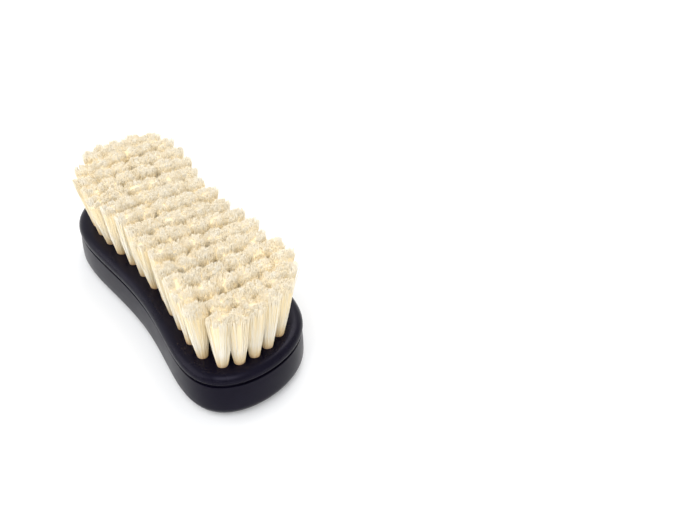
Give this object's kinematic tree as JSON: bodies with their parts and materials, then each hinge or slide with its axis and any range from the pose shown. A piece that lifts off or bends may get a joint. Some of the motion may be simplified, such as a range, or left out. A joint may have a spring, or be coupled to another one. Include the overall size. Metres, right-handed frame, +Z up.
{
  "type": "polishing brush",
  "caption": "Hand-held polishing brush: a waisted, gently S-shaped black lacquered wood block carrying rows of pale bristle tufts cut level.",
  "frame": {"origin": "on the surface that the brush lies on, under the middle of the block, with the brush on its back", "axes": "+X along the block towards one end, +Y across it, +Z up out of the bristle face"},
  "size_m": [0.175, 0.0786, 0.053],
  "materials": {
    "back_lacquer": "satin black lacquer over wood, rounded edges",
    "board_lacquer": "satin black lacquer over wood, drilled face",
    "bristle": "undyed ivory bristle, tips cut level",
    "draw_wire": "thin drawn wire, hidden between the boards"
  },
  "bodies": {
    "root": {"back": "back_lacquer", "bristle_board": "board_lacquer", "tuft_row_01": "bristle", "tuft_row_02": "bristle", "tuft_row_03": "bristle", "tuft_row_04": "bristle", "tuft_row_05": "bristle", "tuft_row_06": "bristle", "tuft_row_07": "bristle", "tuft_row_08": "bristle", "tuft_row_09": "bristle", "tuft_row_10": "bristle", "tuft_row_11": "bristle", "tuft_row_12": "bristle", "tuft_row_13": "bristle", "tuft_row_14": "bristle", "tuft_row_15": "bristle", "draw_wire_01": "draw_wire", "draw_wire_02": "draw_wire", "draw_wire_03": "draw_wire", "draw_wire_04": "draw_wire", "draw_wire_05": "draw_wire", "draw_wire_06": "draw_wire", "draw_wire_07": "draw_wire", "draw_wire_08": "draw_wire", "draw_wire_09": "draw_wire", "draw_wire_10": "draw_wire", "draw_wire_11": "draw_wire", "draw_wire_12": "draw_wire", "draw_wire_13": "draw_wire", "draw_wire_14": "draw_wire", "draw_wire_15": "draw_wire"}
  },
  "joints": []
}
